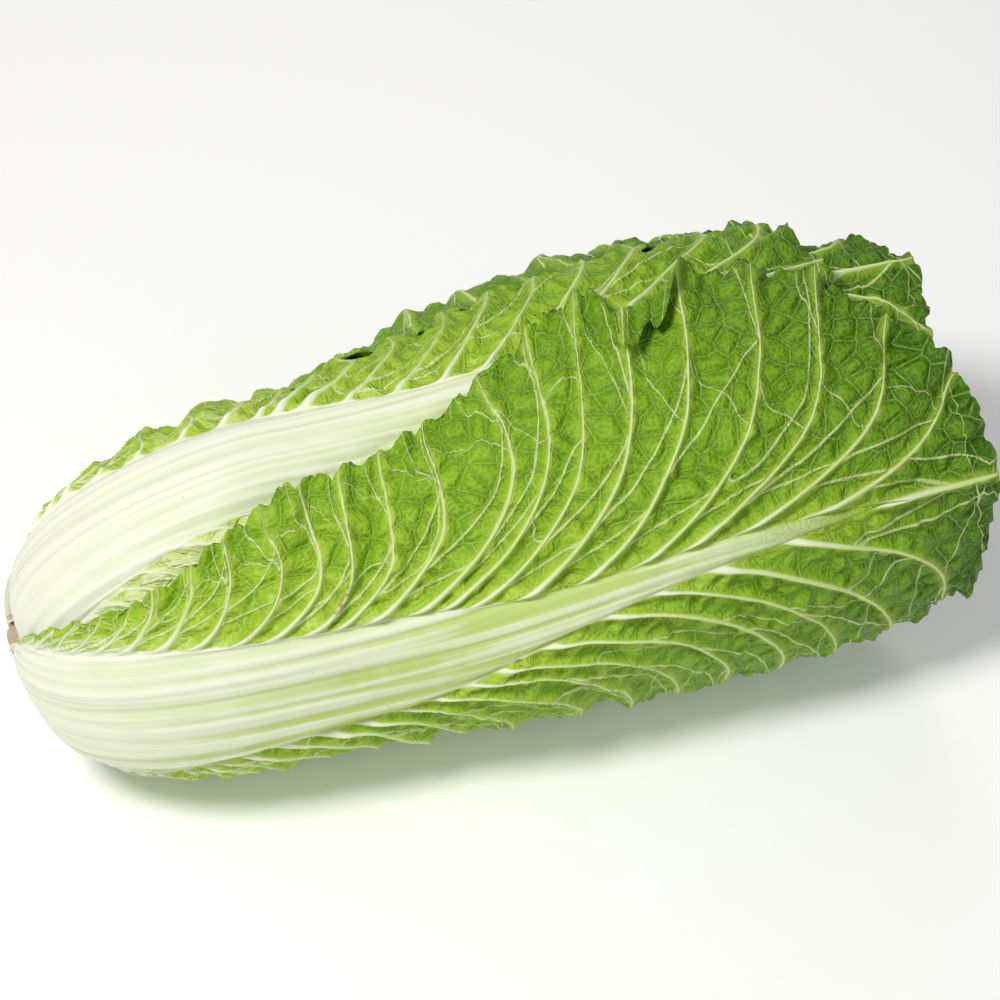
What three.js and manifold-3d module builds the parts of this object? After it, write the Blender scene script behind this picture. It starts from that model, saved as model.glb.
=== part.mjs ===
// A head of napa cabbage, cut from its plant and lying on its side. Millimetres, +Z up.
// The head's long axis runs along +X, from the cut stem to the leaf tips. Angles round that axis
// start at the near side (-Y), and 90 degrees is the top. Every leaf is a thin closed blade with a
// thick midrib, laid round the head in a layer of its own, so the leaves nest and never cross.
import * as THREE from "three";
import Module from "manifold-3d";
import { mergeVertices } from "three/addons/utils/BufferGeometryUtils.js";

const wasm = await Module();
wasm.setup();

// Driving dimensions of the head
const ROOT_RADIUS = 16;
const STEM_RADIUS = 14.9;
const STEM_FACE_X = 0;
const STEM_TOP_X = 21;
const ROOT_STEP = 0.6;
const SHOULDER_X = 90;
const SHOULDER_RADIUS = 68.5;
const SHOULDER_ARC = 112;
const FLARE = { rise: 13, start: 90, run: 130 };
const TAPER = { fall: 8, start: 235, run: 85 };
const AXIS = { height: 62.5, rise: 9, stemDrop: 20 };
const LEAN = 0.3;
const LUMP = 1.6;

// Driving dimensions of a leaf
const OUTER_DEPTH = 3;
const LAYER = 8;
const BLADE_THICKNESS = 0.9;
const RIB_BULGE_OUT = 3;
const RIB_BULGE_IN = 2.8;
const RIB_END = 0.88;
const EDGE_WAVE = 2.6;
const VEIN_RIDGE = 0.6;
const CALM_ROOT = 110;
const REST_BLEND = 2;
const PRESS_REACH = 8;

// Half width of a midrib in degrees round the head, against the share of the leaf's length
const RIB_SHARE = [0, 0.115, 0.217, 0.3, 0.4, 0.5, 0.6, 0.75, 0.88];
const RIB_HALF_ANGLE = [62, 38, 25, 19.5, 15.5, 8.5, 4.5, 2.5, 0];

// Leaf outline: share of the length, and share of the blade's reach, from the root round to the tip
const MARGIN_ALONG = [0, 0.115, 0.217, 0.317, 0.446, 0.61, 0.739, 0.868, 0.965, 1];
const NARROW_ROOT = [0, 0.09, 0.22, 0.56, 0.67, 0.91, 1, 0.86, 0.49, 0];
const EVEN_BLADE = [0, 0.16, 0.3, 0.5, 0.72, 0.92, 1, 0.88, 0.54, 0];
const FULL_BLADE = [0, 0.3, 0.55, 0.75, 0.88, 0.96, 1, 0.97, 0.84, 0];
const WIDE_ROOT = [0, 0.6, 1, 1, 0.92, 0.86, 0.76, 0.62, 0.38, 0];

const radians = THREE.MathUtils.degToRad;

function ease(t) {
  const c = Math.min(Math.max(t, 0), 1);
  return c * c * (3 - 2 * c);
}

// The larger of two heights, rounded over where they are within blend of each other
function softMax(a, b, blend) {
  const gap = a - b;
  if (gap > blend) return a;
  if (gap < -blend) return b;
  return b + (gap + blend) ** 2 / (4 * blend);
}

// A smooth curve through the points (xs, ys), read at x
function curveAt(xs, ys, x) {
  const last = xs.length - 1;
  const above = xs.findIndex((v) => v > x);
  const k = above < 0 ? last - 1 : Math.max(above - 1, 0);
  const slope = (i) => {
    const lo = Math.max(i - 1, 0);
    const hi = Math.min(i + 1, last);
    return (ys[hi] - ys[lo]) / (xs[hi] - xs[lo]);
  };
  const step = xs[k + 1] - xs[k];
  const t = Math.min(Math.max((x - xs[k]) / step, 0), 1);
  const t2 = t * t;
  const t3 = t2 * t;
  return (
    (2 * t3 - 3 * t2 + 1) * ys[k] +
    (t3 - 2 * t2 + t) * step * slope(k) +
    (3 * t2 - 2 * t3) * ys[k + 1] +
    (t3 - t2) * step * slope(k + 1)
  );
}

const evenSteps = MARGIN_ALONG.map((_, i) => i / (MARGIN_ALONG.length - 1));

function axisHeight(x) {
  const drop = AXIS.stemDrop * Math.max(0, 1 - x / SHOULDER_X) ** 2;
  return AXIS.height + AXIS.rise * ease((x - FLARE.start) / FLARE.run) - drop;
}

// Axial place and radius of a layer: inward is its depth below the head's outer form
function layerOutline(along, inward) {
  const turn = (Math.min(along / SHOULDER_ARC, 1) * Math.PI) / 2;
  const x =
    SHOULDER_X - (SHOULDER_X - ROOT_STEP * inward) * Math.cos(turn) + Math.max(0, along - SHOULDER_ARC);
  const flare = FLARE.rise * ease((x - FLARE.start) / FLARE.run);
  const taper = TAPER.fall * ease((x - TAPER.start) / TAPER.run);
  const radius = ROOT_RADIUS + (SHOULDER_RADIUS - ROOT_RADIUS - inward) * Math.sin(turn) + flare - taper;
  return { x, radius };
}

// How far the head's ends lean: at the stem, what is above the axis stands further out than what is below
function leanAt(x, height) {
  return LEAN * height * (1 - ease(x / SHOULDER_X));
}

// A point of the head: along the leaf from its root, angle round the axis, inward below the outer form,
// and never lower than floor, where the head's weight presses the leaves flat
function headPoint(along, angle, inward, floor) {
  const { x, radius } = layerOutline(along, inward);
  const turned = radians(angle);
  const clear = ease((axisHeight(x) + radius * Math.sin(turned) - floor) / 40) * ease(x / SHOULDER_X);
  const lump = LUMP * clear * Math.sin(0.045 * x + 1.3) * Math.cos(2 * turned + 0.6);
  const free = axisHeight(x) + (radius + lump) * Math.sin(turned);
  const leaned = x - leanAt(x, radius * Math.sin(turned));
  return [leaned, -(radius + lump) * Math.cos(turned), softMax(free, floor, REST_BLEND)];
}

// How much a leaf is pressed flat by the surface that the head lies on, from 0 to 1
function pressed(along, angle, inward, floor) {
  const { x, radius } = layerOutline(along, inward);
  const above = axisHeight(x) + radius * Math.sin(radians(angle)) - floor;
  return 1 - ease(above / PRESS_REACH);
}

// A point on one face of a leaf. row runs from the root (0) to the tip (1) and follows a side vein.
// rib is the place across the midrib, 0 to 1, and blade the place from the midrib's edge to the margin.
function leafPoint(leaf, row, side, rib, blade, face) {
  const ribAlong = RIB_END * row ** 1.08;
  const ribHalf = curveAt(RIB_SHARE, RIB_HALF_ANGLE, ribAlong);
  const form = side > 0 ? leaf.upper : leaf.lower;
  const marginAlong = curveAt(evenSteps, MARGIN_ALONG, row);
  const marginAngle = ribHalf + form.reach * Math.max(0, curveAt(evenSteps, form.outline, row));
  const bend = (from, to, pull) =>
    (1 - blade) ** 2 * from + 2 * blade * (1 - blade) * (from + pull * (to - from)) + blade ** 2 * to;
  const along = leaf.length * bend(ribAlong, marginAlong, 0.7);
  const offset = blade > 0 ? bend(ribHalf, marginAngle, 0.3) : ribHalf * rib;
  const angle = leaf.angle + leaf.twist * ease((along - SHOULDER_X) / 190) + side * offset;
  const depth = leaf.depth + leaf.tipIn * ease(2 * (along / leaf.length) - 1);
  const floor = leaf.depth - OUTER_DEPTH;

  const vein = Math.cos(2 * Math.PI * leaf.laterals * row);
  const swing = VEIN_RIDGE * ease(4 * blade) + (EDGE_WAVE - VEIN_RIDGE) * blade ** 2;
  const wave = vein * swing * ease(along / CALM_ROOT) * (1 - pressed(along, angle, depth, floor));
  const stout = 1 - ribAlong / RIB_END;
  const dome = blade > 0 ? 0 : 1 - rib ** 8;
  const outer = wave + RIB_BULGE_OUT * stout ** 0.6 * dome;
  const inner = wave - BLADE_THICKNESS - RIB_BULGE_IN * stout ** 0.6 * dome;
  const raised = face === "outer" ? outer : inner;
  return headPoint(along, angle, depth - raised, floor - raised);
}

// Columns across a leaf, as [side, rib, blade]: one blade, the midrib, the other blade
function leafColumns(steps) {
  const blade = (side) => Array.from({ length: steps }, (_, i) => [side, 1, (i + 1) / steps]);
  const midrib = (side) => [0.5, 0.84, 1].map((rib) => [side, rib, 0]);
  return [...blade(-1).reverse(), ...midrib(-1).reverse(), [1, 0, 0], ...midrib(1), ...blade(1)];
}

// Closed blade between the rows from firstRow to the tip, welded where its vertices meet
function leafGeometry(leaf) {
  const rows = 2 * leaf.laterals;
  const first = leaf.firstRow ?? 0;
  const columns = leafColumns(leaf.steps);
  const vertices = [];
  const known = new Map();
  const vertexOf = (j, i, face) => {
    const [side, rib, blade] = columns[i];
    const point = leafPoint(leaf, j / rows, side, rib, blade, face);
    const key = point.map((c) => c.toFixed(3)).join();
    if (!known.has(key)) known.set(key, vertices.push(...point) / 3 - 1);
    return known.get(key);
  };
  const triangles = [];
  const addTriangle = (a, b, c) => {
    if (a !== b && b !== c && c !== a) triangles.push(a, b, c);
  };
  const addQuad = (a, b, c, d) => {
    addTriangle(a, b, c);
    addTriangle(a, c, d);
  };
  const last = columns.length - 1;
  // The quad that joins the two faces along an edge from (j, i) to (k, l)
  const edgeOf = (j, i, k, l) => [
    vertexOf(j, i, "outer"),
    vertexOf(k, l, "outer"),
    vertexOf(k, l, "inner"),
    vertexOf(j, i, "inner"),
  ];
  for (let j = first; j < rows; j++) {
    for (let i = 0; i < last; i++) {
      const corners = [[j, i], [j + 1, i], [j + 1, i + 1], [j, i + 1]];
      const outer = corners.map(([r, c]) => vertexOf(r, c, "outer"));
      const inner = corners.map(([r, c]) => vertexOf(r, c, "inner"));
      addTriangle(outer[0], outer[1], outer[2]);
      addTriangle(outer[0], outer[2], outer[3]);
      addTriangle(inner[0], inner[2], inner[1]);
      addTriangle(inner[0], inner[3], inner[2]);
    }
    addQuad(...edgeOf(j + 1, 0, j, 0));
    addQuad(...edgeOf(j, last, j + 1, last));
  }
  for (let i = 0; i < last; i++) {
    addQuad(...edgeOf(first, i, first, i + 1));
  }
  return new THREE.BufferGeometry()
    .setAttribute("position", new THREE.Float32BufferAttribute(vertices, 3))
    .setIndex(triangles);
}

// A closed skin of rings round the head's axis; each ring is { x, radius }
function ringGeometry(rings, sides) {
  const vertices = [];
  const triangles = [];
  for (const { x, radius } of rings) {
    for (let k = 0; k < sides; k++) {
      const turned = (2 * Math.PI * k) / sides;
      const height = radius * Math.sin(turned);
      vertices.push(x - leanAt(x, height), -radius * Math.cos(turned), axisHeight(x) + height);
    }
  }
  const centre = (x) => vertices.push(x, 0, axisHeight(x)) / 3 - 1;
  const start = centre(rings[0].x);
  const end = centre(rings.at(-1).x);
  for (let j = 0; j < rings.length - 1; j++) {
    for (let k = 0; k < sides; k++) {
      const next = (k + 1) % sides;
      const [a, b] = [j * sides + k, j * sides + next];
      triangles.push(a, a + sides, b + sides, a, b + sides, b);
    }
  }
  const top = (rings.length - 1) * sides;
  for (let k = 0; k < sides; k++) {
    const next = (k + 1) % sides;
    triangles.push(start, k, next, end, top + next, top + k);
  }
  return new THREE.BufferGeometry()
    .setAttribute("position", new THREE.Float32BufferAttribute(vertices, 3))
    .setIndex(triangles);
}

function solidOf(geometry) {
  const merged = mergeVertices(geometry, 1e-3);
  return new wasm.Manifold(
    new wasm.Mesh({
      numProp: 3,
      vertProperties: merged.attributes.position.array,
      triVerts: new Uint32Array(merged.index.array),
    }),
  );
}

function geometryOf(solid) {
  const mesh = solid.getMesh();
  return new THREE.BufferGeometry()
    .setAttribute("position", new THREE.BufferAttribute(new Float32Array(mesh.vertProperties), 3))
    .setIndex(new THREE.BufferAttribute(new Uint32Array(mesh.triVerts), 1));
}

// The largest body of a solid, without the cavities that a union sealed inside it
function outerBody(solid) {
  const bodies = solid.decompose();
  return bodies.reduce((best, body) => (body.volume() > best.volume() ? body : best));
}

function colour(red, green, blue) {
  return new THREE.MeshStandardMaterial({
    color: new THREE.Color(red, green, blue),
    roughness: 0.5,
    metalness: 0,
    flatShading: true,
    side: THREE.DoubleSide,
  });
}

const outerGreen = colour(0.3, 0.5, 0.08);
const innerGreen = colour(0.5, 0.68, 0.2);
const paleYellow = colour(0.8, 0.86, 0.45);
const stemWhite = colour(0.85, 0.82, 0.65);

// The leaves, from the outside in. Leaves at one depth stand side by side round the head.
const depthOf = (layer) => OUTER_DEPTH + layer * LAYER;
const leaves = [
  {
    name: "front_leaf", angle: 6, twist: 16.5, depth: depthOf(0), tipIn: -2, length: 342, laterals: 18, steps: 5,
    upper: { outline: NARROW_ROOT, reach: 70 }, lower: { outline: FULL_BLADE, reach: 85 }, material: outerGreen,
  },
  {
    name: "back_leaf", angle: 206, twist: -4, depth: depthOf(0), tipIn: -1.6, length: 322, laterals: 15, steps: 5,
    upper: { outline: EVEN_BLADE, reach: 66 }, lower: { outline: EVEN_BLADE, reach: 76 }, material: outerGreen,
  },
  {
    name: "top_leaf", angle: 86, twist: 10, depth: depthOf(1), tipIn: -3, length: 308, laterals: 17, steps: 5,
    upper: { outline: EVEN_BLADE, reach: 66 }, lower: { outline: EVEN_BLADE, reach: 78 }, material: outerGreen,
  },
  {
    name: "under_leaf", angle: 290, twist: 22, depth: depthOf(1), tipIn: 2, length: 300, laterals: 13, steps: 4,
    upper: { outline: EVEN_BLADE, reach: 50 }, lower: { outline: EVEN_BLADE, reach: 62 }, material: outerGreen,
  },
  {
    name: "inner_top_leaf", angle: 140, twist: -43, depth: depthOf(2), tipIn: -4, length: 342, laterals: 12, steps: 4,
    upper: { outline: EVEN_BLADE, reach: 70 }, lower: { outline: EVEN_BLADE, reach: 62 }, material: innerGreen,
  },
  {
    name: "inner_front_leaf", angle: -15, twist: -8, depth: depthOf(2), tipIn: 6, length: 318, laterals: 12, steps: 4,
    upper: { outline: WIDE_ROOT, reach: 50 }, lower: { outline: EVEN_BLADE, reach: 60 }, material: innerGreen,
  },
  {
    name: "pale_upper_leaf", angle: 55, twist: 6, depth: depthOf(3), tipIn: 12, length: 306, laterals: 10, steps: 4,
    upper: { outline: EVEN_BLADE, reach: 70 }, lower: { outline: EVEN_BLADE, reach: 78 }, material: paleYellow,
  },
  {
    name: "pale_lower_leaf", angle: 235, twist: -6, depth: depthOf(3), tipIn: 12, length: 300, laterals: 10, steps: 4,
    upper: { outline: EVEN_BLADE, reach: 74 }, lower: { outline: EVEN_BLADE, reach: 74 }, material: paleYellow,
  },
];

// The heart: a tight core with the tips of its own curled leaves standing out of it
const HEART_DEPTH = depthOf(4);
const HEART_LEAVES = 5;
const CORE_DOME = 33;
const CORE_DOME_START = 150;
const CORE_DOME_RUN = 75;

function heartLeaf(index) {
  return {
    angle: 20 + 144 * index, twist: 10, depth: HEART_DEPTH + 1.8 * index, tipIn: 24 - 1.5 * index,
    length: 286 - 5 * index, laterals: 7, steps: 3, firstRow: 8,
    upper: { outline: EVEN_BLADE, reach: 62 }, lower: { outline: EVEN_BLADE, reach: 62 },
  };
}

function heartGeometry() {
  const coreDepth = HEART_DEPTH + 4;
  const rings = [1, 18, 45, 80, 112, 150, 180, 200, 215, 225].map((along) => {
    const { x, radius } = layerOutline(along, coreDepth);
    return { x, radius: radius - 3 - CORE_DOME * ease((along - CORE_DOME_START) / CORE_DOME_RUN) };
  });
  let heart = solidOf(ringGeometry(rings, 20));
  for (let index = 0; index < HEART_LEAVES; index++) {
    heart = heart.add(solidOf(leafGeometry(heartLeaf(index))));
  }
  return geometryOf(outerBody(heart));
}

function stemGeometry() {
  const rings = [
    { x: STEM_FACE_X, radius: STEM_RADIUS - 1.5 },
    { x: STEM_FACE_X + 1.5, radius: STEM_RADIUS },
    { x: 6, radius: STEM_RADIUS },
    { x: 12, radius: STEM_RADIUS },
    { x: STEM_TOP_X - 2, radius: STEM_RADIUS },
    { x: STEM_TOP_X, radius: STEM_RADIUS - 2 },
  ];
  return ringGeometry(rings, 32);
}

const head = new THREE.Group();

function addPart(name, geometry, material) {
  const mesh = new THREE.Mesh(geometry, material);
  mesh.name = name;
  head.add(mesh);
}

for (const leaf of leaves) {
  addPart(leaf.name, leafGeometry(leaf), leaf.material);
}
addPart("heart", heartGeometry(), paleYellow);
addPart("stem", stemGeometry(), stemWhite);

// The origin is on the surface that the head lies on, under the middle of its box
const box = new THREE.Box3().setFromObject(head, true);
head.position.set(-(box.min.x + box.max.x) / 2, -(box.min.y + box.max.y) / 2, -box.min.z);

const cabbage = new THREE.Group();
cabbage.add(head);

export default cabbage;
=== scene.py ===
"""The looks of a napa cabbage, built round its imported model: crinkled leaves, heart, stem and studio."""

import math

import bmesh
import bpy
import numpy as np
from bpy.props import FloatProperty, FloatVectorProperty, PointerProperty
from bpy.types import Operator, Panel, PropertyGroup
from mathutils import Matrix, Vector


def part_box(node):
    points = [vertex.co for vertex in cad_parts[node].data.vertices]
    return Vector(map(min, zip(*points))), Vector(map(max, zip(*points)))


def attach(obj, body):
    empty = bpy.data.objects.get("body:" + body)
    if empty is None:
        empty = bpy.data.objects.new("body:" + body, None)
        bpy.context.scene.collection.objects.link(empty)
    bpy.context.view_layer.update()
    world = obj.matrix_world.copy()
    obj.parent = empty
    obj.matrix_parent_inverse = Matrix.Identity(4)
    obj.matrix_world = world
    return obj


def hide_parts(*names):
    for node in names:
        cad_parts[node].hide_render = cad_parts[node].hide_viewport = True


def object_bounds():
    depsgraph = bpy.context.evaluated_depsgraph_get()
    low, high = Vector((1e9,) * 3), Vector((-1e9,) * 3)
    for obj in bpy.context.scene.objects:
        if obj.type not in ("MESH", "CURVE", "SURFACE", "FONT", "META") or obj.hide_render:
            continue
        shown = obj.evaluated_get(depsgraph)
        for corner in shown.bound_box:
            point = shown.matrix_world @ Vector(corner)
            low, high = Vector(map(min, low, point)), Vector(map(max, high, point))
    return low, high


bl_info = {
    "name": "Napa Cabbage",
    "version": (1, 0, 0),
    "blender": (4, 5, 0),
    "location": "View3D > Sidebar > Napa Cabbage",
    "description": "Builds a whole head of napa cabbage lying on its side, and a plain studio for it",
    "category": "Object",
}

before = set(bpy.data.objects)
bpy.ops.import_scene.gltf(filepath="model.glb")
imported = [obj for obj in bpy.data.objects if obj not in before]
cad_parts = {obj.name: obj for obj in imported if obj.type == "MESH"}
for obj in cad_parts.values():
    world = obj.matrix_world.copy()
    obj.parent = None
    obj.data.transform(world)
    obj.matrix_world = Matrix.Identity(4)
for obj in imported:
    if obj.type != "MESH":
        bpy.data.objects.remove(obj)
MODEL_BOX = [list(corner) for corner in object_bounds()]
MM = 0.001
CHART_UNIT = 100  # millimetres of leaf to one unit of its chart

# Form of the head in millimetres, the same as in the model's own source
ROOT_RADIUS = 16
STEM_RADIUS = 14.9
STEM_TOP_X = 21
ROOT_STEP = 0.6
SHOULDER_X = 90
SHOULDER_RADIUS = 68.5
SHOULDER_ARC = 112
FLARE_RISE, FLARE_START, FLARE_RUN = 13, 90, 130
TAPER_FALL, TAPER_START, TAPER_RUN = 8, 235, 85
AXIS_HEIGHT, AXIS_RISE, AXIS_STEM_DROP = 62.5, 9, 20
LEAN = 0.3
LUMP = 1.6
OUTER_DEPTH = 3
LAYER = 8
RIB_BULGE_OUT = 3
RIB_BULGE_IN = 2.8
RIB_END = 0.88
EDGE_WAVE = 2.6
VEIN_RIDGE = 0.6
CALM_ROOT = 110
REST_BLEND = 2
PRESS_REACH = 8
RIB_SHARE = [0, 0.115, 0.217, 0.3, 0.4, 0.5, 0.6, 0.75, 0.88]
RIB_HALF_ANGLE = [62, 38, 25, 19.5, 15.5, 8.5, 4.5, 2.5, 0]
MARGIN_ALONG = [0, 0.115, 0.217, 0.317, 0.446, 0.61, 0.739, 0.868, 0.965, 1]
NARROW_ROOT = [0, 0.09, 0.22, 0.56, 0.67, 0.91, 1, 0.86, 0.49, 0]
EVEN_BLADE = [0, 0.16, 0.3, 0.5, 0.72, 0.92, 1, 0.88, 0.54, 0]
FULL_BLADE = [0, 0.3, 0.55, 0.75, 0.88, 0.96, 1, 0.97, 0.84, 0]
WIDE_ROOT = [0, 0.6, 1, 1, 0.92, 0.86, 0.76, 0.62, 0.38, 0]
EVEN_STEPS = np.linspace(0, 1, len(MARGIN_ALONG))
HEART_DEPTH = OUTER_DEPTH + 4 * LAYER
HEART_LEAVES = 5

# Fine form in millimetres: veins, margins, browned parts
VEIN_WIDE = 2.1
VEIN_NARROWING = 1.5
VEIN_SWELL_REACH = 3.4
FINE_CELL = 2.1
LOBE_RUN = 10.4
TOOTH_RUN = 3.1
TIP_ZONE = 22
TIP_RIPPLE = 2.2
TIP_RIPPLE_RUN = 15
FRILL_ZONE = 26
FRILL_RUN = 7.4
TUCK_ZONE = 34
BROWNED_ROOT = 9
SCAR_HALF_WIDTH = 1.1

# Curled margins: strength from 0, folded over from 1, and the furthest turn in radians
CURL_MOST = 2.4
CURL_MOST_TURN = 2.95

# Lines that branch off a main vein: width of the pale line, in the vein's own width, and its weight
BRANCH_LINES = (
    ("fork_ahead", 0.5, 0.75),
    ("fork_behind", 0.48, 0.8),
    ("bridge", 0.4, 0.65),
    ("middle", 0.4, 0.65),
)

# The heart's core and the cut stem
CORE_DEPTH = HEART_DEPTH + 4
CORE_LENGTH = 225
CORE_CLOSING = 75
CORE_CLOSED_IN = 33
CORE_RINGS = 90
RING_SIDES = 96
CUT_RADIUS = 13.4
CUT_HOLLOW = 0.9

# Where the camera aims, in metres from the middle of the model
AIM_RIGHT = 0.0098
AIM_DOWN = 0.0028


def leaf_facts(angle, twist, layer, tip_in, length, waves, upper, lower, **looks):
    """One leaf: its place in the head, and what its looks need.

    upper and lower are an outline and its reach in degrees round the head. A pair gives the lower side
    first. drawn_in and curls list a side, a place along the margin, a spread, and millimetres or a
    strength. tuck is in millimetres, rib_turn in degrees, pale_root in shares of the length, and scar is
    a vein's number with the places on the blade where the scar starts and ends.
    """
    return {
        "angle": angle, "twist": twist, "depth": OUTER_DEPTH + layer * LAYER, "tip_in": tip_in,
        "length": length, "waves": waves, "upper": upper, "lower": lower, "first": 0.0,
        "sweep": (0.045, 0.045), "lean_back": 0.04, "ragged": 1.3, "drawn_in": [], "curls": [],
        "tuck": (0, 0), "scar": None, "rib_turn": 0,
        "stand_out": 2.5 if layer else 9, "pale_root": (0, 0), **looks,
    }


LEAVES = {
    "front_leaf": leaf_facts(
        6, 16.5, 0, -2, 342, 18, (NARROW_ROOT, 70), (FULL_BLADE, 85),
        rows=400, blade_steps=74, rib_steps=22, veins=25, seed=11, green=0.47, rib_green=0.7,
        sweep=(0.08, 0.05), lean_back=0.036, ragged=0.9, tuck=(0, 0.6), scar=(13, 0.2, 0.45),
        drawn_in=[(1, 0.84, 0.05, 4), (-1, 0.9, 0.03, 7), (1, 0.7, 0.03, 5), (-1, 0.22, 0.014, -5)],
        curls=[(1, 0.638, 0.042, 2.35), (1, 0.86, 0.05, 0.5), (-1, 0.22, 0.02, 0.9)],
    ),
    "back_leaf": leaf_facts(
        206, -4, 0, -1.6, 322, 15, (EVEN_BLADE, 66), (EVEN_BLADE, 76),
        rows=300, blade_steps=62, rib_steps=14, veins=24, seed=23, green=0.54, rib_green=0.4,
        tuck=(8.8, 0), stand_out=3.2,
        drawn_in=[(-1, 0.55, 0.2, 5), (-1, 0.46, 0.03, 6), (-1, 0.72, 0.02, 5)],
        curls=[(-1, 0.2, 0.014, 0.9), (-1, 0.29, 0.016, 1.2), (-1, 0.35, 0.014, 0.9)],
    ),
    "top_leaf": leaf_facts(
        86, 10, 1, -3, 308, 17, (EVEN_BLADE, 66), (EVEN_BLADE, 78),
        rows=320, blade_steps=68, rib_steps=20, veins=24, seed=37, green=0.34, rib_green=0.22,
        sweep=(0.05, 0.012), lean_back=0.05, pale_root=(0.6, 0.1), rib_turn=-10,
    ),
    "under_leaf": leaf_facts(
        290, 22, 1, 2, 300, 13, (EVEN_BLADE, 50), (EVEN_BLADE, 62),
        rows=220, blade_steps=44, rib_steps=12, veins=20, seed=41, green=0.72, rib_green=0.5,
    ),
    "inner_top_leaf": leaf_facts(
        140, -43, 2, -4, 342, 12, (EVEN_BLADE, 70), (EVEN_BLADE, 62),
        rows=280, blade_steps=56, rib_steps=12, veins=22, seed=53, green=0.5, rib_green=0.3,
    ),
    "inner_front_leaf": leaf_facts(
        -15, -8, 2, 6, 318, 12, (WIDE_ROOT, 50), (EVEN_BLADE, 60),
        rows=220, blade_steps=44, rib_steps=12, veins=20, seed=67, green=0.26, rib_green=0.2,
        pale_root=(0.6, 0.6),
    ),
    "pale_upper_leaf": leaf_facts(
        55, 6, 3, 12, 306, 10, (EVEN_BLADE, 70), (EVEN_BLADE, 78),
        rows=200, blade_steps=42, rib_steps=10, veins=18, seed=71, green=0.16, rib_green=0.1,
    ),
    "pale_lower_leaf": leaf_facts(
        235, -6, 3, 12, 300, 10, (EVEN_BLADE, 74), (EVEN_BLADE, 74),
        rows=200, blade_steps=42, rib_steps=10, veins=18, seed=83, green=0.16, rib_green=0.1,
    ),
}


def heart_leaf_facts(index):
    """One of the heart's curled leaves, of which only the outer half stands out of the core."""
    leaf = leaf_facts(
        20 + 144 * index, 10, 4, 24 - 1.5 * index, 286 - 5 * index, 7,
        (EVEN_BLADE, 62), (EVEN_BLADE, 62),
        rows=120, blade_steps=26, rib_steps=6, veins=16, seed=101 + 7 * index, green=0.08, rib_green=0.05,
    )
    leaf["depth"] = HEART_DEPTH + 1.8 * index
    leaf["first"] = 0.5
    return leaf


def ease(t):
    """From 0 to 1 as t goes from 0 to 1, with a soft start and end."""
    c = np.clip(t, 0.0, 1.0)
    return c * c * (3 - 2 * c)


def soft_max(a, b, blend):
    """The larger of two heights, rounded over where they are within blend of each other."""
    gap = a - b
    return np.where(gap > blend, a, np.where(gap < -blend, b, b + (gap + blend) ** 2 / (4 * blend)))


def curve_at(xs, ys, x):
    """A smooth curve through the points (xs, ys), read at x."""
    xs = np.asarray(xs, float)
    ys = np.asarray(ys, float)
    last = len(xs) - 1
    places = np.arange(last + 1)
    low = np.maximum(places - 1, 0)
    high = np.minimum(places + 1, last)
    slope = (ys[high] - ys[low]) / (xs[high] - xs[low])
    k = np.clip(np.searchsorted(xs, x, side="right") - 1, 0, last - 1)
    step = xs[k + 1] - xs[k]
    t = np.clip((x - xs[k]) / step, 0, 1)
    t2 = t * t
    t3 = t2 * t
    start = (2 * t3 - 3 * t2 + 1) * ys[k] + (t3 - 2 * t2 + t) * step * slope[k]
    return start + (3 * t2 - 2 * t3) * ys[k + 1] + (t3 - t2) * step * slope[k + 1]


def axis_height(x):
    """Height of the head's long axis above the floor."""
    drop = AXIS_STEM_DROP * np.maximum(0, 1 - x / SHOULDER_X) ** 2
    return AXIS_HEIGHT + AXIS_RISE * ease((x - FLARE_START) / FLARE_RUN) - drop


def layer_outline(along, inward):
    """Axial place and radius of a layer that lies inward below the head's outer form."""
    turn = np.minimum(along / SHOULDER_ARC, 1) * math.pi / 2
    round_root = (SHOULDER_X - ROOT_STEP * inward) * np.cos(turn)
    x = SHOULDER_X - round_root + np.maximum(0, along - SHOULDER_ARC)
    flare = FLARE_RISE * ease((x - FLARE_START) / FLARE_RUN)
    taper = TAPER_FALL * ease((x - TAPER_START) / TAPER_RUN)
    return x, ROOT_RADIUS + (SHOULDER_RADIUS - ROOT_RADIUS - inward) * np.sin(turn) + flare - taper


def lean_at(x, height):
    """How far the head's root leans: what is above the axis stands further out."""
    return LEAN * height * (1 - ease(x / SHOULDER_X))


def head_point(along, angle, inward, floor):
    """A point of the head, never lower than floor, where the head's weight presses the leaves flat."""
    x, radius = layer_outline(along, inward)
    turned = np.radians(angle)
    clear = ease((axis_height(x) + radius * np.sin(turned) - floor) / 40) * ease(x / SHOULDER_X)
    lump = LUMP * clear * np.sin(0.045 * x + 1.3) * np.cos(2 * turned + 0.6)
    free = axis_height(x) + (radius + lump) * np.sin(turned)
    leaned = x - lean_at(x, radius * np.sin(turned))
    return np.stack([leaned, -(radius + lump) * np.cos(turned), soft_max(free, floor, REST_BLEND)], -1)


def pressed(along, angle, inward, floor):
    """How much a leaf is pressed flat by what it lies on, from 0 to 1."""
    x, radius = layer_outline(along, inward)
    above = axis_height(x) + radius * np.sin(np.radians(angle)) - floor
    return 1 - ease(above / PRESS_REACH)


def frame_shift():
    """From the head's own place to the model's frame, in millimetres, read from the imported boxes."""
    stem_low, stem_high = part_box("stem")
    leaf_low, leaf_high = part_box("front_leaf")
    tip_x = SHOULDER_X + LEAVES["front_leaf"]["length"] - SHOULDER_ARC
    return np.array([leaf_high[0] / MM - tip_x, (stem_low[1] + stem_high[1]) / 2 / MM, 0.0])


SHIFT = frame_shift()


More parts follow.
